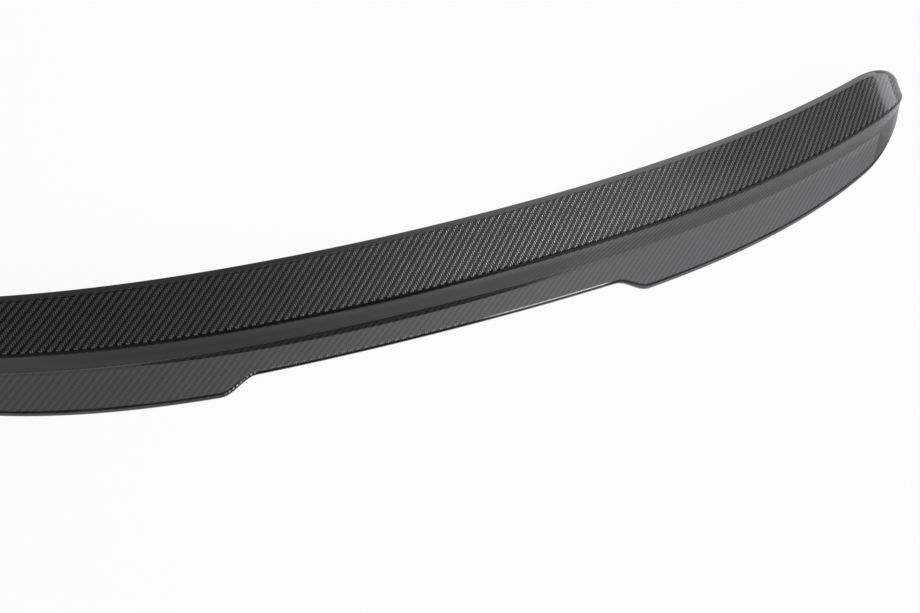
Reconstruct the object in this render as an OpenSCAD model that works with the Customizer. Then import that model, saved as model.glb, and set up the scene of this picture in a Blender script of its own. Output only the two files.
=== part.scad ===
// Boot-lid spoiler: one moulded carbon-fibre shell.
// X runs along the length, +Y points to the front of the car, Z is up.
// The lower edge of the shell lies in the plane Z = 0.

/* [Overall] */
// Length over the two rounded ends
spoiler_len = 1180; // [1000:10:1400]
// How far forward of the middle the lip lies at the ends, even part of the curve
plan_bow = 53; // [30:1:90]
// Extra forward sweep of the lip that grows towards the ends
end_sweep = 34; // [0:1:50]
// Height of the lip above the lower edge, at the middle
lip_h = 64; // [56:1:76]
// How much lower the lip lies at the ends
lip_arch = 16; // [5:1:30]

/* [Top panel] */
// Width of the top panel from its front rim to the lip, at the middle
top_w = 57; // [45:0.5:75]
// Width of the top panel at the ends
top_w_end = 45; // [35:1:60]
// Rise of the top panel from its front rim to the lip, in degrees
top_rise = 6; // [0:0.5:10]
// Depth of the hollow along the middle of the top panel
top_hollow = 1.2; // [0.2:0.1:3]
// Width of the narrow front rim that turns down to the boot lid
rim_w = 6.5; // [4:0.5:9]
// How steeply the front rim turns down, in degrees
rim_fall = 32; // [15:1:45]

/* [Rear face] */
// Length of the steep face under the lip, at the middle
step_l = 34.5; // [24:0.5:38]
// Length of the steep face at the ends
step_l_end = 18; // [10:1:22]
// Slope of the steep face below the lip, in degrees
step_lean = 58; // [50:1:70]
// How far the apron reaches back from the foot of the steep face, at the middle
apron_reach = 42; // [30:0.5:55]
// How far the apron reaches back at the ends
apron_reach_end = 24; // [16:1:34]
// Height of the lower edge that turns straight down under the apron
drop_h = 5; // [4:0.5:7]

/* [Notch] */
// Width of the notch in the lower edge, between the middles of its two flanks
notch_w = 430; // [200:2:520]
// Length of each sloping flank, along the spoiler
notch_flank = 40; // [30:1:80]
// Depth of the notch at its middle, measured up the apron
notch_d = 21.5; // [5:0.5:24]
// How much shallower the notch is beside its flanks
notch_arch = 2.4; // [0:0.2:4]

/* [Shell] */
// Thickness of the laminate
wall = 2.5; // [1.5:0.1:2.8]
// Outside radius of the lip
lip_r = 4.4; // [3:0.2:6]
// Radius where the front rim meets the top panel
rim_r = 5; // [4:0.5:8]
// Inside radius of the waist between the steep face and the apron
waist_r = 24; // [8:1:30]
// Outside radius of the lower edge
drop_r = 4.4; // [3.4:0.2:5]
// Length of each rounded end
nose_l = 70; // [50:1:100]

/* [Hidden] */

half_l = spoiler_len / 2;
nose_x = half_l - nose_l;         // where the rounded end starts
nose_turn = 84;                   // degrees of the end's quarter round that are built
notch_in = notch_w / 2 - notch_flank / 2;
notch_out = notch_w / 2 + notch_flank / 2;

arc_n = 5;                        // pieces in each rounded corner of the section
cap_n = 3;                        // inner points in each rounded edge of the laminate
flank_n = 10;                     // stations over a flank of the notch
span_n = 10;                      // stations between the notch and the rounded end
floor_n = 5;                      // stations over half of the notch floor
nose_n = 11;                      // stations over a rounded end

function mix(a, b, t) = a + (b - a) * t;
function clamp(t) = min(max(t, 0), 1);
function smooth(t) = t * t * (3 - 2 * t);
function unit(v) = v / norm(v);
function left_of(v) = [-v[1], v[0]];

// Share of the half length, squared: 0 at the middle and 1 at the ends
function share(x) = pow(x / half_l, 2);

// The lip line in plan and in height
function lip_y(x) = plan_bow * share(x) + end_sweep * pow(share(x), 2);
function lip_z(x) = lip_h - lip_arch * share(x);

// Sizes of the section at x
function top_at(x) = mix(top_w, top_w_end, pow(share(x), 1.5));
function step_at(x) = mix(step_l, step_l_end, pow(share(x), 3));
function reach_at(x) = mix(apron_reach, apron_reach_end, pow(share(x), 3));
function notch_floor(x) = notch_d - notch_arch * pow(clamp(abs(x) / notch_in), 2);
function notch_at(x) = notch_floor(x) * smooth(clamp((notch_out - abs(x)) / notch_flank));

// Corners of the outside of the section, from the front rim over the lip to the lower edge
function corners(x) =
    let (lip = [lip_y(x), lip_z(x)],
         along = [cos(top_rise), -sin(top_rise)],
         panel_end = lip + top_at(x) * along,
         panel_mid = (lip + panel_end) / 2 - top_hollow * left_of(along),
         rim_end = panel_end + rim_w * [cos(rim_fall), -sin(rim_fall)],
         waist = lip - step_at(x) * [cos(step_lean), sin(step_lean)],
         foot = [waist[0] - reach_at(x), drop_h + wall / 2],
         apron_l = norm(foot - waist),
         edge = mix(waist, foot, 1 - notch_at(x) / apron_l))
    [rim_end, panel_end, panel_mid, lip, waist, edge, edge - [0, drop_h]];

corner_r = [0, rim_r, 200, lip_r, waist_r, drop_r, 0];

// The corner b of the line a, b, c as an arc of radius r, cut back where its sides are short
function arc(a, b, c, r) =
    let (u = unit(a - b),
         v = unit(c - b),
         half = acos(u * v) / 2,
         t = min(r / tan(half), 0.45 * norm(a - b), 0.45 * norm(c - b)),
         r_in = t * tan(half),
         centre = b + unit(u + v) * r_in / sin(half),
         p = b + u * t - centre,
         turn = (180 - 2 * half) * sign(p[0] * (b + v * t - centre)[1] - p[1] * (b + v * t - centre)[0]))
    [for (k = [0:arc_n])
        let (w = turn * k / arc_n)
        centre + [p[0] * cos(w) - p[1] * sin(w), p[0] * sin(w) + p[1] * cos(w)]];

// The outside line of the section, with every corner rounded
function outside(x) =
    let (c = corners(x), last = len(c) - 1)
    concat([c[0]], [for (i = [1:last - 1]) each arc(c[i - 1], c[i], c[i + 1], corner_r[i])], [c[last]]);

// Direction of a line of points at its point i
function heading(line, i) =
    unit(line[min(i + 1, len(line) - 1)] - line[max(i - 1, 0)]);

// The inside line lies one wall under the outside line
function inside(line) = [for (i = [0:len(line) - 1]) line[i] + wall * left_of(heading(line, i))];

// Points of the half round edge between the outside point a and the inside point b
function edge_round(a, b, forward) =
    [for (k = [1:cap_n])
        let (w = 180 * k / (cap_n + 1))
        (a + b) / 2 + (a - b) / 2 * cos(w) + forward * wall / 2 * sin(w)];

// One ring of the shell: outside, lower edge, inside and front edge.
// turn is the angle along the rounded end, 0 before it.
function ring(x, turn) =
    let (side = x < 0 ? -1 : 1,
         x_in = side * (abs(x) - wall * sin(turn)),
         shrink = cos(turn),
         line = outside(x),
         under = inside(line),
         last = len(line) - 1,
         pivot = [(line[0][0] + line[last][0]) / 2, 0],
         low = edge_round(line[last], under[last], heading(line, last)),
         front = edge_round(under[0], line[0], -heading(line, 0)),
         place = function (p, px) [px, pivot[0] + (p[0] - pivot[0]) * shrink, p[1] * shrink])
    concat([for (p = line) place(p, x)],
           [for (p = low) place(p, (x + x_in) / 2)],
           [for (i = [last:-1:0]) place(under[i], x_in)],
           [for (p = front) place(p, (x + x_in) / 2)]);

// Stations of the right half, each as [x, turn]
half_stations = concat(
    [for (k = [1:floor_n]) [notch_in * k / floor_n, 0]],
    [for (k = [1:flank_n]) [notch_in + notch_flank * k / flank_n, 0]],
    [for (k = [1:span_n]) [mix(notch_out, nose_x, k / span_n), 0]],
    [for (k = [1:nose_n]) let (w = nose_turn * k / nose_n) [nose_x + nose_l * sin(w) / sin(nose_turn), w]]);

stations = concat(
    [for (i = [len(half_stations) - 1:-1:0]) [-half_stations[i][0], half_stations[i][1]]],
    [[0, 0]],
    half_stations);

module spoiler_shell() {
    rings = [for (s = stations) ring(s[0], s[1])];
    n = len(rings[0]);
    m = len(rings);
    depth = [for (r = rings, p = r) p[1]];
    mid_y = (min(depth) + max(depth)) / 2;   // the shell is centred on Y = 0
    path_n = (n - 2 * cap_n) / 2;   // points in the outside line
    in_a = path_n + cap_n;          // first point of the inside line
    in_b = in_a + path_n - 1;       // last point of the inside line

    sides = [for (i = [0:m - 2], k = [0:n - 1])
        let (a = i * n + k, b = i * n + (k + 1) % n)
        each [[a, b, b + n], [a, b + n, a + n]]];

    // Each end is closed by its outside line, its inside line and the strip between their feet
    function fan(idx) = [for (k = [1:len(idx) - 2]) [idx[0], idx[k], idx[k + 1]]];
    foot_strip = concat([path_n - 1], [for (k = [path_n:in_a - 1]) k], [in_a], [in_b],
                        [for (k = [in_b + 1:n - 1]) k], [0]);
    end_cap = concat(fan([for (k = [0:path_n - 1]) k]), fan([for (k = [in_a:in_b]) k]), fan(foot_strip));
    far = (m - 1) * n;

    color([0.17, 0.175, 0.18])
    translate([0, -mid_y, 0])
    polyhedron(
        points = [for (r = rings) each r],
        faces = concat(sides,
                       [for (f = end_cap) [f[2], f[1], f[0]]],
                       [for (f = end_cap) [far + f[0], far + f[1], far + f[2]]]),
        convexity = 6);
}

spoiler_shell();
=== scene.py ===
# Boot-lid spoiler: a moulded shell of carbon-fibre twill under a clear gloss coat,
# seen from behind and above as in its photograph.
import math
import bpy
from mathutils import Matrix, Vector


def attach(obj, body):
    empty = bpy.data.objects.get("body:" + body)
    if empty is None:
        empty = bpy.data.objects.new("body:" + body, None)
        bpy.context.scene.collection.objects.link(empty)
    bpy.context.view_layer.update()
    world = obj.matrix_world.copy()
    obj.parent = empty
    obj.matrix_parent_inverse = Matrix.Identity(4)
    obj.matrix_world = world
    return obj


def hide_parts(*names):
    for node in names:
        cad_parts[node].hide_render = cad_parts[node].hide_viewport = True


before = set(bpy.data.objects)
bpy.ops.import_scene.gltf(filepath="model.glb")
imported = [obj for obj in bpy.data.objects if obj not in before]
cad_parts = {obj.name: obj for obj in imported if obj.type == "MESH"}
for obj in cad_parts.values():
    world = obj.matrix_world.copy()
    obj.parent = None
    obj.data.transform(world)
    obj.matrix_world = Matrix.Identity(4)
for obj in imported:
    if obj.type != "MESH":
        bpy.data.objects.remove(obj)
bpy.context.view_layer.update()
scene = bpy.context.scene
mm = 0.001


class Wire:
    # wraps one socket of a node tree, so that sums and products of wires add their Math nodes
    def __init__(self, tree, socket=None):
        self.tree = tree
        self.socket = socket

    def node(self, kind, settings=None, inputs=None, output=0):
        made = self.tree.nodes.new(kind)
        for name, value in (settings or {}).items():
            setattr(made, name, value)
        for name, value in (inputs or {}).items():
            if isinstance(value, Wire):
                self.tree.links.new(value.socket, made.inputs[name])
            else:
                made.inputs[name].default_value = value
        return Wire(self.tree, made.outputs[output] if made.outputs else None)

    def output(self, name):
        return Wire(self.tree, self.socket.node.outputs[name])

    def math(self, operation, *values):
        return self.node("ShaderNodeMath", {"operation": operation}, dict(enumerate(values)))

    def __add__(self, other):
        return self.math("ADD", self, other)

    def __sub__(self, other):
        return self.math("SUBTRACT", self, other)

    def __rsub__(self, other):
        return self.math("SUBTRACT", other, self)

    def __mul__(self, other):
        return self.math("MULTIPLY", self, other)

    def __truediv__(self, other):
        return self.math("DIVIDE", self, other)

    def __mod__(self, other):
        return self.math("FLOORED_MODULO", self, other)

    def __pow__(self, other):
        return self.math("POWER", self, other)

    def __gt__(self, other):
        return self.math("GREATER_THAN", self, other)

    def __lt__(self, other):
        return self.math("LESS_THAN", self, other)

    def __abs__(self):
        return self.math("ABSOLUTE", self)

    __radd__ = __add__
    __rmul__ = __mul__

    def floor(self):
        return self.math("FLOOR", self)

    def root(self):
        return self.math("SQRT", self)

    def sine(self):
        return self.math("SINE", self)

    def cosine(self):
        return self.math("COSINE", self)

    def clamped(self, low=0.0, high=1.0):
        return self.node("ShaderNodeClamp", None, {"Value": self, "Min": low, "Max": high})

    def rise(self, start, end):
        # 0 before start, 1 after end and a soft rise between them
        return self.node("ShaderNodeMapRange", {"interpolation_type": "SMOOTHSTEP"},
                         {"Value": self, "From Min": start, "From Max": end})


def between(a, b, share):
    return a + (b - a) * share


# The shell: sizes in millimetres and degrees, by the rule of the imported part
shell = {
    "Length": 1180, "Plan bow": 53, "End sweep": 34, "Lip height": 64, "Lip arch": 16,
    "Top width": 57, "Top width at ends": 45, "Top rise": 6, "Top hollow": 1.2,
    "Rim width": 6.5, "Rim fall": 32,
    "Step length": 34.5, "Step length at ends": 18, "Step lean": 58,
    "Apron reach": 42, "Apron reach at ends": 24, "Drop height": 5,
    "Notch width": 430, "Notch flank": 40, "Notch depth": 21.5, "Notch arch": 2.4,
    "Wall": 2.5, "Rim radius": 5, "Panel radius": 200, "Lip radius": 4.4,
    "Waist radius": 24, "Edge radius": 4.4, "Nose length": 70,
}
shellMesh = {
    "flatRows": (3, 3, 3, 10, 14, 3),    # rows on each flat of the section, front rim first
    "bendRows": (6, 8, 12, 12, 8),       # rows round each bend of the section
    "rimRows": 6,                        # rows round a cut edge
    "bodyStations": 260, "noseStations": 20,
    "largestCut": 0.45,                  # how much of a flat a bend may take
    "insideFrom": 0.95,                  # how far round a cut edge the inside's finish starts
    "mergeDistance": 0.002,              # millimetres
}


def sectionCorners(net, size, share, notch):
    # corners (y, z) of the outside of the section, from the front rim over the lip to the lower edge
    def slope(name):
        angle = size[name] * (math.pi / 180)
        return angle.cosine(), angle.sine()

    riseCos, riseSin = slope("Top rise")
    fallCos, fallSin = slope("Rim fall")
    leanCos, leanSin = slope("Step lean")
    top = between(size["Top width"], size["Top width at ends"], share ** 1.5)
    step = between(size["Step length"], size["Step length at ends"], share ** 3)
    reach = between(size["Apron reach"], size["Apron reach at ends"], share ** 3)
    lip = (size["Plan bow"] * share + size["End sweep"] * share ** 2,
           size["Lip height"] - size["Lip arch"] * share)
    panelEnd = (lip[0] + top * riseCos, lip[1] - top * riseSin)
    panelMid = ((lip[0] + panelEnd[0]) / 2 - size["Top hollow"] * riseSin,
                (lip[1] + panelEnd[1]) / 2 - size["Top hollow"] * riseCos)
    rimEnd = (panelEnd[0] + size["Rim width"] * fallCos, panelEnd[1] - size["Rim width"] * fallSin)
    waist = (lip[0] - step * leanCos, lip[1] - step * leanSin)
    foot = (waist[0] - reach, size["Drop height"] + size["Wall"] / 2)
    apron = (reach ** 2 + (foot[1] - waist[1]) ** 2).root()
    edge = (between(foot[0], waist[0], notch / apron), between(foot[1], waist[1], notch / apron))
    return [rimEnd, panelEnd, panelMid, lip, waist, edge, (edge[0], edge[1] - size["Drop height"])]


def buildShellTree(outerFinish, innerFinish):
    tree = bpy.data.node_groups.new("spoilerShell", "GeometryNodeTree")
    tree.interface.new_socket("Geometry", in_out="OUTPUT", socket_type="NodeSocketGeometry")
    for name, value in shell.items():
        socket = tree.interface.new_socket(name, in_out="INPUT", socket_type="NodeSocketFloat")
        socket.default_value = value
    net = Wire(tree)
    groupIn = tree.nodes.new("NodeGroupInput")
    size = {name: Wire(tree, groupIn.outputs[name]) for name in shell}

    # a flat grid: one way along the spoiler, the other way once round its section
    flats, bends = shellMesh["flatRows"], shellMesh["bendRows"]
    rows, rim = sum(flats) + sum(bends), shellMesh["rimRows"]
    body, nose = shellMesh["bodyStations"], shellMesh["noseStations"]
    around, along = 2 * (rows + rim), body + 2 * nose
    grid = net.node("GeometryNodeMeshGrid", None, {
        "Size X": 1.0, "Size Y": 1.0, "Vertices X": along + 1, "Vertices Y": around + 1})
    place = net.node("ShaderNodeSeparateXYZ", None, {0: net.node("GeometryNodeInputPosition")})
    station = (place + 0.5) * along
    turnRow = (0.5 - place.output("Y")) * around

    # stations: evenly over the body, by angle round each end
    half = size["Length"] / 2
    noseStart = half - size["Nose length"]
    bodyShare = ((station - nose) / body).clamped()
    rightTurn = ((station - (nose + body)) / nose).clamped() * (math.pi / 2)
    leftTurn = ((nose - station) / nose).clamped() * (math.pi / 2)
    turn = rightTurn + leftTurn
    x = (bodyShare * 2 - 1) * noseStart + size["Nose length"] * (rightTurn.sine() - leftTurn.sine())
    share = (x / half) ** 2
    notchOuter = size["Notch width"] / 2 + size["Notch flank"] / 2
    notchRise = ((notchOuter - abs(x)) / size["Notch flank"]).clamped()
    notchFloor = size["Notch depth"] - size["Notch arch"] * (
        abs(x) * 2 / (size["Notch width"] - size["Notch flank"])).clamped() ** 2
    notch = notchFloor * notchRise * notchRise * (3 - 2 * notchRise)

    # row of the section, and the turn round the cut edges to the inside and back
    row = turnRow.clamped(0, rows) - (turnRow - (rows + rim)).clamped(0, rows)
    wrap = (((turnRow - rows) / rim).clamped() + ((turnRow - (2 * rows + rim)) / rim).clamped()) * math.pi
    under = (1 - wrap.cosine()) / 2

    corners = sectionCorners(net, size, share, notch)
    legs = [(b[0] - a[0], b[1] - a[1]) for a, b in zip(corners, corners[1:])]
    lengths = [(leg[0] ** 2 + leg[1] ** 2).root() for leg in legs]
    ways = [(leg[0] / length, leg[1] / length) for leg, length in zip(legs, lengths)]
    bendNames = ("Rim radius", "Panel radius", "Lip radius", "Waist radius", "Edge radius")
    largest = shellMesh["largestCut"]
    cuts, bendLengths = [], []
    for name, before, after, come, go in zip(bendNames, lengths, lengths[1:], ways, ways[1:]):
        cosine = come[0] * go[0] + come[1] * go[1]
        cut = size[name] * ((1 - cosine) / (1 + cosine)).root()
        cut = net.math("MINIMUM", net.math("MINIMUM", cut, before * largest), after * largest)
        cuts.append(cut)
        bendLengths.append(cut * (2 + 2 * (2 + 2 * cosine).root()) / 3)

    # walk the section: each flat and bend adds its own stretch once the row has reached it
    y, z = corners[0]
    headY, headZ = ways[0]
    reached = walked = None
    first = 0
    for index, way in enumerate(ways):
        done = ((row - first) / flats[index]).clamped()
        flat = lengths[index]
        if index > 0:
            flat = flat - cuts[index - 1]
        if index < len(cuts):
            flat = flat - cuts[index]
        y = y + done * flat * way[0]
        z = z + done * flat * way[1]
        walked = done * flat if walked is None else walked + done * flat
        reached = flat if reached is None else reached + flat
        first += flats[index]
        if index < len(cuts):
            done = ((row - first) / bends[index]).clamped()
            cut, after = cuts[index], ways[index + 1]
            early, late = done * (2 - done) * cut, done * done * cut
            y = y + early * way[0] + late * after[0]
            z = z + early * way[1] + late * after[1]
            mixY, mixZ = between(way[0], after[0], done), between(way[1], after[1], done)
            mixLength = (mixY ** 2 + mixZ ** 2).root()
            headY = headY + mixY / mixLength - way[0]
            headZ = headZ + mixZ / mixLength - way[1]
            walked = walked + done * bendLengths[index]
            if bendNames[index] == "Lip radius":
                lipPlace = reached + bendLengths[index] / 2
            reached = reached + bendLengths[index]
            first += bends[index]

    # the laminate: in by one wall, and half round at its cut edges
    wall = size["Wall"]
    bulge = wrap.sine() * wall / 2
    y = y - headZ * wall * under + headY * bulge
    z = z + headY * wall * under + headZ * bulge
    pivot = (corners[0][0] + corners[-1][0]) / 2
    shrink = turn.cosine()
    edgeWalk = wall / 2 * (math.pi - abs(wrap - math.pi))
    side = (x > 0) * 2 - 1
    placed = net.node("ShaderNodeCombineXYZ", None, {
        0: (x - side * wall * turn.sine() * under) * mm,
        1: (pivot + (y - pivot) * shrink) * mm,
        2: z * shrink * mm})

    # the pattern's own places: along and across the cloth, then distances from the lip and both edges
    cloth = net.node("ShaderNodeCombineXYZ", None, {0: x, 1: lipPlace - walked - edgeWalk})
    zones = net.node("ShaderNodeCombineXYZ", None, {0: lipPlace - walked, 1: walked, 2: reached - walked})
    shape = net.node("GeometryNodeStoreNamedAttribute", {"data_type": "FLOAT2", "domain": "CORNER"},
                     {"Geometry": grid, "Name": "cloth", "Value": cloth})
    shape = net.node("GeometryNodeStoreNamedAttribute", {"data_type": "FLOAT_VECTOR", "domain": "POINT"},
                     {"Geometry": shape, "Name": "zones", "Value": zones})
    shape = net.node("GeometryNodeSetMaterial", None, {"Geometry": shape, "Material": outerFinish})
    isInside = under > shellMesh["insideFrom"]
    shape = net.node("GeometryNodeSetMaterial", None,
                     {"Geometry": shape, "Selection": isInside, "Material": innerFinish})
    shape = net.node("GeometryNodeSetPosition", None, {"Geometry": shape, "Position": placed})
    shape = net.node("GeometryNodeMergeByDistance", None,
                     {"Geometry": shape, "Distance": shellMesh["mergeDistance"] * mm})

    # centred between its front and its rear edge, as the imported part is
    box = net.node("GeometryNodeBoundBox", None, {"Geometry": shape}, "Min")
    low = net.node("ShaderNodeSeparateXYZ", None, {0: box}, "Y")
    high = net.node("ShaderNodeSeparateXYZ", None, {0: box.output("Max")}, "Y")
    shift = net.node("ShaderNodeCombineXYZ", None, {1: (low + high) * -0.5})
    shape = net.node("GeometryNodeTransform", None, {"Geometry": shape, "Translation": shift})
    shape = net.node("GeometryNodeSetShadeSmooth", None, {"Geometry": shape})
    shape = net.node("GeometryNodeRealizeInstances", None, {"Geometry": shape})
    net.node("NodeGroupOutput", None, {0: shape})
    return tree


def plainMesh(name, tree, values):
    # runs a geometry tree once and keeps its result as a plain mesh
    holder = bpy.data.objects.new(name + "Rule", bpy.data.meshes.new(name + "Rule"))
    scene.collection.objects.link(holder)
    modifier = holder.modifiers.new("rule", "NODES")
    modifier.node_group = tree
    for item in tree.interface.items_tree:
        if item.in_out == "INPUT":
            modifier[item.identifier] = float(values[item.name])
    result = holder.evaluated_get(bpy.context.evaluated_depsgraph_get())
    mesh = bpy.data.meshes.new_from_object(result)
    bpy.data.objects.remove(holder)
    made = bpy.data.objects.new(name, mesh)
    scene.collection.objects.link(made)
    return made


# Finishes: the woven laminate under its coat, and the bare inside
laminate = {                               # millimetres
    "towWidth": 2.0, "towHeight": 0.26,
    "crownShare": 0.75,                    # how much of a tow's height is its round top
    "acrossTow": (0.105, 0.104, 0.103),    # tows that run across the spoiler
    "alongTow": (0.026, 0.026, 0.026),     # tows that run along it
    "gapAndShadeLine": (0.006, 0.006, 0.0065),         # resin between the tows, also the colour of the painted shade lines
    "gapHeight": (0.0, 0.45),
    "plainDark": (0.012, 0.012, 0.0125),
    "metallic": 0.9, "roughness": 0.28, "coatRoughness": 0.03,
    "lipShadeLine": (-2.0, 3.8),                # middle and half width of the painted shade line along the lip's bend
    "lipShift": 1.3, "lipFade": 0.15,      # at the right it lies further forward and is paler
    "lipShiftSpan": (-30, 150),
    "footShadeLine": (6.6, 1.9),                # the same painted shade line on the rolled lower edge
    "wideFoot": 2.2,                       # how much higher it lies outside the notch
    "wideFootSpan": (190, 225),
    "lineCore": 0.6,                       # how much of a line's half width is full
    "ragged": 1.8,                         # how far the tows poke into those lines
    "raggedCrown": 0.5, "raggedTow": 0.6,  # by their round tops and by whole tows
    "tickAbove": (1.6, 2.4),               # painted highlights on the tows where the cloth bends over the lip
    "tickFoot": (8.8, 1.2),                # and where it bends over the lower edge
    "tickFootFrom": -195, "tickFootTo": (20, 40), "tickFootShare": 0.8,
    # colour of the painted glints, which tows carry them, and how strongly
    "glintColour": (0.26, 0.26, 0.26), "tickHeight": (0.5, 0.9), "tickShare": 0.6,
    "rimLine": (7.4, 1.0),                 # faint line where the front rim meets the weave
    "rimLineShare": 0.7,
    "footSheenColour": (0.055, 0.055, 0.057),   # painted sheen on the rolled lower edge, standing in for its reflection of the floor
    "footSoft": 0.6,
    "edgeHighlightLine": (8.2, 0.9), "edgeHighlightColour": (0.42, 0.42, 0.42),   # painted highlight along the lower edge
    "edgeRight": (30.0, 70.0, 180.0, 192.0), "edgeLeft": (-232.0, -226.0, -202.0, -193.0),
    "edgePush": 0.7,                       # how far the painted highlight at the right narrows the painted shade line
    "dropShift": 0.8, "dropSoft": (0.3, 1.5),      # at the left the painted highlight breaks into separate glints
    "dropGap": (0.6, 1.2), "dropWaves": 1.3, "dropLeast": 0.3,
    "plainFrom": -3.0, "plainTo": -26.0,   # the steep face, where a plain dark colour covers the weave
    "plainSoft": (2, 5),
    "plainRight": (60.0, 190.0),           # and where the weave comes back along it
    "rimWidth": 6.2, "rimSoft": 0.8,       # the front rim shows no weave
    "lipTurn": (-2, 1), "stepFoot": (-38, -30),    # where the lip turns, and the foot of the steep face
    "lowerShade": 0.18, "lowerBump": 0.65,   # painted shade: how much of the tows' colour is left below the lip, and how strongly their relief shows there
    "stepShade": 0.36,                     # and how much of that painted shade is lifted on the steep face, towards the right
    "calmBump": 0.95,                      # how much of the relief is flattened where the weave is covered
}
inside = {
    "alongTow": (0.022, 0.022, 0.023), "acrossTow": (0.032, 0.032, 0.034),
    "towHeight": 0.12, "bump": 0.8, "roughness": 0.55,
}


def newFinish(name):
    finish = bpy.data.materials.new(name)
    finish.use_nodes = True
    finish.node_tree.nodes.clear()
    return finish, Wire(finish.node_tree)


def layered(net, mask, below, above):
    # one colour over another, each a wire or three numbers
    below, above = (colour if isinstance(colour, Wire) else (*colour, 1) for colour in (below, above))
    return net.node("ShaderNodeMix", {"data_type": "RGBA"}, {0: mask, 6: below, 7: above}, 2)


def stripe(place, middle, half):
    # 1 on the stripe's middle, softly down to 0 at its sides
    return 1 - abs(place - middle).rise(0, half)


def twill(net):
    # 2x2 twill on the cloth's own places: which tows are on top and how high they stand
    places = net.node("ShaderNodeUVMap", {"uv_map": "cloth"})
    split = net.node("ShaderNodeSeparateXYZ", None, {0: places})
    across = split / laminate["towWidth"]
    up = split.output("Y") / laminate["towWidth"]
    column, line = across.floor(), up.floor()
    acrossOnTop = ((column - line) % 4) < 1.5     # each column: two tows on top, two below
    columnCrown = 1 - ((across - column) * 2 - 1) ** 2
    lineCrown = 1 - ((up - line) * 2 - 1) ** 2
    columnFloat = abs((column - up + 2) % 4 - 2)
    lineFloat = abs((across - line - 1) % 4 - 2)
    crown = laminate["crownShare"]
    columnHeight = columnCrown * crown + (1 - columnFloat ** 4) * (1 - crown)
    lineHeight = lineCrown * crown + (1 - lineFloat ** 4) * (1 - crown)
    height = between(lineHeight, columnHeight, acrossOnTop)
    return split, acrossOnTop, height


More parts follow.
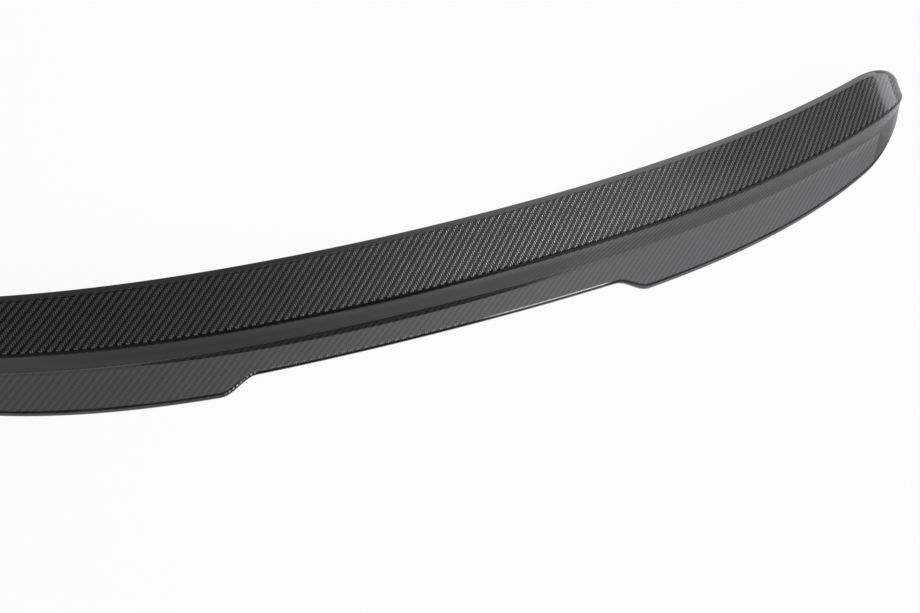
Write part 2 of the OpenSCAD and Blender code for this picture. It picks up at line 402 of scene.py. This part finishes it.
def makeLaminate():
    finish, net = newFinish("carbonLaminate")
    split, acrossOnTop, height = twill(net)
    zones = net.node("ShaderNodeSeparateXYZ", None, {
        0: net.node("ShaderNodeAttribute", {"attribute_name": "zones"}, None, "Vector")})
    aboveLip, fromFront, fromEdge = zones, zones.output("Y"), zones.output("Z")
    fromFoot = fromEdge - abs(split).rise(*laminate["wideFootSpan"]) * laminate["wideFoot"]
    right, left = (split.rise(*span[:2]) * (1 - split.rise(*span[2:])) for span in (
        laminate["edgeRight"], laminate["edgeLeft"]))

    # painted shade: dark lines along the lip's bend and the lower edge
    core = laminate["lineCore"]
    lipMiddle, lipHalf = laminate["lipShadeLine"]
    footMiddle, footHalf = laminate["footShadeLine"]
    towardsRight = split.rise(*laminate["lipShiftSpan"])
    lipMiddle = lipMiddle + towardsRight * laminate["lipShift"]
    crownPoke = (height - 0.5) * laminate["ragged"]
    towPoke = (acrossOnTop - 0.5) * (laminate["ragged"] * laminate["raggedTow"])
    lipPlace = abs(aboveLip - lipMiddle) + (crownPoke * laminate["raggedCrown"] + towPoke)
    lipShadeLine = 1 - lipPlace.rise(lipHalf * core, lipHalf)
    lipShadeLine = lipShadeLine * (1 - towardsRight * laminate["lipFade"])
    footPlace = abs(fromFoot - footMiddle) + crownPoke + right * laminate["edgePush"]
    footShadeLine = 1 - footPlace.rise(footHalf * core, footHalf)
    # both painted shade lines together
    line = net.math("MAXIMUM", lipShadeLine, footShadeLine)

    # painted highlights as light ticks beside them, the front rim's line, and a painted highlight along the
    # lower edge
    tickAbove = stripe(aboveLip, *laminate["tickAbove"])
    tickFoot = stripe(fromFoot, *laminate["tickFoot"]) * (split > laminate["tickFootFrom"])
    tickFoot = tickFoot * (1 - split.rise(*laminate["tickFootTo"])) * laminate["tickFootShare"]
    glintTick = net.math("MAXIMUM", tickAbove, tickFoot) * acrossOnTop * height.rise(*laminate["tickHeight"])
    rimLine = stripe(fromFront, *laminate["rimLine"])
    # painted sheen on the rolled lower edge
    foot = 1 - fromFoot.rise(footMiddle - footHalf - laminate["footSoft"], footMiddle - footHalf)
    # painted highlight along the lower edge, at the right
    highlightMiddle, highlightHalf = laminate["edgeHighlightLine"]
    edgeHighlight = stripe(fromFoot, highlightMiddle, highlightHalf) * right
    # at the left the painted highlight is broken into glints, one per tow
    highlightDrops = 1 - abs(fromEdge - highlightMiddle + laminate["dropShift"]).rise(*laminate["dropSoft"])
    highlightDrops = highlightDrops * left * ((split / laminate["towWidth"]) % 2).rise(*laminate["dropGap"])
    dropSize = (split * laminate["dropWaves"]).sine().rise(-1, 1)
    highlightDrops = highlightDrops * between(laminate["dropLeast"], 1.0, dropSize)
    edgeHighlight = net.math("MAXIMUM", edgeHighlight, highlightDrops)

    # where the weave doesn't show, or shows less, and the painted shade below the lip
    plainTop, plainFoot = laminate["plainFrom"], laminate["plainTo"]
    topSoft, footSoft = laminate["plainSoft"]
    plain = aboveLip.rise(plainFoot - footSoft, plainFoot)
    plain = plain * (1 - aboveLip.rise(plainTop, plainTop + topSoft))
    plain = plain * (1 - split.rise(*laminate["plainRight"]))
    rimWidth, rimSoft = laminate["rimWidth"], laminate["rimSoft"]
    rim = 1 - fromFront.rise(rimWidth - rimSoft, rimWidth + rimSoft)
    calm = net.math("MAXIMUM", net.math("MAXIMUM", plain, rim), net.math("MAXIMUM", line, foot))
    above = aboveLip.rise(*laminate["lipTurn"])
    onStep = aboveLip.rise(*laminate["stepFoot"]) * (1 - above) * split.rise(*laminate["plainRight"])
    shade = between(laminate["lowerShade"], 1.0, above) + onStep * laminate["stepShade"]

    colour = layered(net, acrossOnTop, laminate["alongTow"], laminate["acrossTow"])
    colour = layered(net, height.rise(*laminate["gapHeight"]), laminate["gapAndShadeLine"], colour)
    # painted shade: the cloth's colour darkened below the lip
    colour = layered(net, shade, (0, 0, 0), colour)
    # painted glints, plain colour, painted sheen, the rim's line, painted shade lines and painted edge
    # highlights, laid over the weave
    for mask, coat in (
            (glintTick * laminate["tickShare"], "glintColour"), (calm, "plainDark"), (foot, "footSheenColour"),
            (rimLine * laminate["rimLineShare"], "gapAndShadeLine"), (line, "gapAndShadeLine"), (edgeHighlight, "edgeHighlightColour")):
        colour = layered(net, mask, colour, laminate[coat])
    relief = height * (1 - calm * laminate["calmBump"]) * between(laminate["lowerBump"], 1.0, above)
    bump = net.node("ShaderNodeBump", None, {
        "Strength": 1.0, "Distance": laminate["towHeight"] * mm, "Height": relief})
    # the coat is left off under the painted shade lines, so they show no reflection
    surface = net.node("ShaderNodeBsdfPrincipled", None, {
        "Base Color": colour, "Metallic": laminate["metallic"], "Roughness": laminate["roughness"],
        "Normal": bump, "Coat Weight": 1 - line,
        "Coat Roughness": laminate["coatRoughness"], "Coat IOR": 1.5})
    net.node("ShaderNodeOutputMaterial", None, {"Surface": surface})
    return finish


def makeInside():
    finish, net = newFinish("bareInside")
    acrossOnTop, height = twill(net)[1:]
    colour = layered(net, acrossOnTop, inside["alongTow"], inside["acrossTow"])
    bump = net.node("ShaderNodeBump", None, {
        "Strength": inside["bump"], "Distance": inside["towHeight"] * mm, "Height": height})
    surface = net.node("ShaderNodeBsdfPrincipled", None, {
        "Base Color": colour, "Roughness": inside["roughness"], "Normal": bump})
    net.node("ShaderNodeOutputMaterial", None, {"Surface": surface})
    return finish


outerFinish, innerFinish = makeLaminate(), makeInside()
spoiler = plainMesh("spoiler_shell_skin", buildShellTree(outerFinish, innerFinish), shell)
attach(spoiler, "root")
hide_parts("spoiler_shell")
print("shell:", len(spoiler.data.polygons), "faces")


# The stage: pale floor, soft room light, two lamps, camera
ground = {                                  # metres from the middle of the object
    "size": 6.0,
    "tone": (0.46, 0.90), "toneSpan": (-0.45, 0.12),             # painted shade: the floor's colour is darker left of the object than right of it
    "dimSpan": (0.12, 0.40), "dimTone": 0.12, "dimGlow": 0.75,   # painted shade: a little darker beyond its right end, in colour and in glow
    # dark cloth behind the object, out of the camera's sight
    "clothMiddle": (-0.02, -1.0), "clothHalf": (0.39, 0.805), "clothSoft": (0.92, 1.05), "clothTone": 0.10,
    # light from the floor, which only the object's gloss sees
    "glowLevel": 2.6, "glow": (0.008, 0.07), "glowSpan": (-0.20, 0.10),
    "nearGlow": 0.10, "nearSpan": (0.10, 0.165),
    "farGlow": 0.42, "farSpan": (0.16, 0.40),
    "bandGlow": (0.055, 0.30), "bandAlong": (-0.25, 0.25),       # mirrored by the steep face, under the lip
    "bandSpan": (0.178, 0.196), "bandBow": (0.33, 0.48), "bandBowSpan": (0.15, 0.35),
    "seenWhite": 0.95,                      # how white the camera sees the floor
}
room = {                                    # levels of light, by direction
    "rearWall": (1.15, 2.45), "rearSpan": (-0.25, 0.40),
    "rearFoot": 0.3, "rearFootSpan": (0.0, 0.40),                # how much dimmer the rear wall's foot is
    "frontWall": (0.46, 2.45), "frontSpan": (0.10, 0.38),
    "ceilingLevel": 0.08, "ceilingEdge": (0.60, 0.40), "ceilingSoft": 0.14,
    "boxLevel": 1.05, "boxSpan": (-0.10, 0.42), "boxCurve": 1.7, "boxEnd": (0.40, 0.47), "boxDrop": 0.75,
    "flagLevel": 0.18, "flagMiddle": 0.08, "flagHalf": (0.26, 0.40), "flagSoft": (0.85, 1.1),
    "tint": (0.97, 0.98, 1),
}
lamps = {
    "way": (0.75, 0.30, 0.60), "distance": 2.5, "aimHeight": 0.05,
    # place along the object, radius, cone angle, softness and power of each lamp
    "keys": ((-0.15, 0.15, 12.0, 0.5, 35.0), (0.15, 0.13, 8.2, 0.8, 24.0)),
}
camera = {
    "place": (-0.29871, -0.16977, 1.41800),
    "turn": (7.788, -11.338, -15.398),      # degrees
    "focalPixels": 1389.5, "framePixels": 920,
}


def floorGlow(place, back, dim):
    # how much each place glows: a base, close to the object, a bowed band behind the lip, and far away
    near = 1 - back.rise(*ground["nearSpan"])
    bow = between(*ground["bandBow"], place.rise(*ground["bandBowSpan"]))
    band = (back + place * place * bow).rise(*ground["bandSpan"])
    glow = between(*ground["glow"], place.rise(*ground["glowSpan"])) + near * ground["nearGlow"]
    glow = glow + band * between(*ground["bandGlow"], place.rise(*ground["bandAlong"]))
    return glow * (1 - dim * ground["dimGlow"]) + back.rise(*ground["farSpan"]) * ground["farGlow"]


def makeFloor():
    edge = ground["size"] / 2
    corners = [(-edge, -edge, 0), (edge, -edge, 0), (edge, edge, 0), (-edge, edge, 0)]
    mesh = bpy.data.meshes.new("floor")
    mesh.from_pydata(corners, [], [(0, 1, 2, 3)])
    floor = bpy.data.objects.new("floor", mesh)
    scene.collection.objects.link(floor)
    finish, net = newFinish("paleFloor")
    seen = net.node("ShaderNodeLightPath", None, None, "Is Camera Ray")
    place = net.node("ShaderNodeSeparateXYZ", None, {
        0: net.node("ShaderNodeTexCoord", None, None, "Object")})
    back = place.output("Y") * -1
    dim = place.rise(*ground["dimSpan"])
    (clothX, clothY), (halfX, halfY) = ground["clothMiddle"], ground["clothHalf"]
    clothEdge = ((place - clothX) / halfX) ** 2 + ((place.output("Y") - clothY) / halfY) ** 4
    bare = net.math("MAXIMUM", clothEdge.rise(*ground["clothSoft"]), seen)
    # painted shade on the floor's colour
    tone = between(*ground["tone"], place.rise(*ground["toneSpan"])) * (1 - dim * ground["dimTone"])
    tone = between(ground["clothTone"], tone, bare)
    glow = floorGlow(place, back, dim) * bare
    matt = net.node("ShaderNodeBsdfDiffuse", None, {
        "Color": net.node("ShaderNodeCombineColor", None, {0: tone, 1: tone, 2: tone})})
    white = net.node("ShaderNodeEmission", None, {
        "Color": (1, 1, 1, 1), "Strength": between(ground["glowLevel"], 1.0, seen)})
    surface = net.node("ShaderNodeMixShader", None, {
        0: between(glow, ground["seenWhite"], seen), 1: matt, 2: white})
    net.node("ShaderNodeOutputMaterial", None, {"Surface": surface})
    mesh.materials.append(finish)


def makeRoom():
    world = bpy.data.worlds.new("room")
    scene.world = world
    world.use_nodes = True
    world.node_tree.nodes.clear()
    net = Wire(world.node_tree)
    way = net.node("ShaderNodeSeparateXYZ", None, {
        0: net.node("ShaderNodeTexCoord", None, None, "Generated")})
    wayX, wayY, wayZ = way, way.output("Y"), way.output("Z")
    # pale walls, brighter to the right, a dark ceiling with a light box, and a dark flag behind
    rearWall = between(*room["rearWall"], wayX.rise(*room["rearSpan"]))
    rearWall = rearWall * between(1 - room["rearFoot"], 1.0, wayZ.rise(*room["rearFootSpan"]))
    frontWall = between(*room["frontWall"], wayX.rise(*room["frontSpan"]))
    wall = between(rearWall, frontWall, wayY > 0)
    box = wayX.rise(*room["boxSpan"]) ** room["boxCurve"] * (1 - wayX.rise(*room["boxEnd"]) * room["boxDrop"])
    top = between(room["ceilingLevel"], room["boxLevel"], box)
    ceilingEdge = between(*room["ceilingEdge"], wayY > 0)
    level = between(wall, top, (wayZ - ceilingEdge).rise(0.0, room["ceilingSoft"]))
    flagX, flagZ = room["flagHalf"]
    flagEdge = ((wayX - room["flagMiddle"]) / flagX) ** 2 + (wayZ / flagZ) ** 2
    flag = (1 - flagEdge.rise(*room["flagSoft"])) * (wayY < 0)
    level = between(level, room["flagLevel"], flag)
    seen = net.node("ShaderNodeLightPath", None, None, "Is Camera Ray")
    background = net.node("ShaderNodeBackground", None, {
        "Color": layered(net, seen, room["tint"], (1, 1, 1)), "Strength": between(level, 1.0, seen)})
    net.node("ShaderNodeOutputWorld", None, {"Surface": background})


def makeKeyLamp(index, aim, radius, angle, blend, power):
    data = bpy.data.lights.new("keyLamp%d" % index, "SPOT")
    data.shadow_soft_size = radius
    data.spot_size = math.radians(angle)
    data.spot_blend = blend
    data.energy = power
    lamp = bpy.data.objects.new(data.name, data)
    lamp.location = Vector(lamps["way"]).normalized() * lamps["distance"]
    sight = lamp.location - Vector((aim, 0.0, lamps["aimHeight"]))
    lamp.rotation_euler = sight.to_track_quat("Z", "Y").to_euler()
    scene.collection.objects.link(lamp)


def makeCamera():
    data = bpy.data.cameras.new("camera")
    data.sensor_fit = "HORIZONTAL"
    data.sensor_width = 36
    data.lens = camera["focalPixels"] / camera["framePixels"] * data.sensor_width
    data.clip_start, data.clip_end = 0.01, 50
    eye = bpy.data.objects.new("camera", data)
    eye.location = camera["place"]
    eye.rotation_euler = [math.radians(angle) for angle in camera["turn"]]
    scene.collection.objects.link(eye)
    scene.camera = eye


makeFloor()
makeRoom()
for index, key in enumerate(lamps["keys"]):
    makeKeyLamp(index, *key)
makeCamera()
scene.view_settings.view_transform = "Standard"
print("stage and camera are in place")
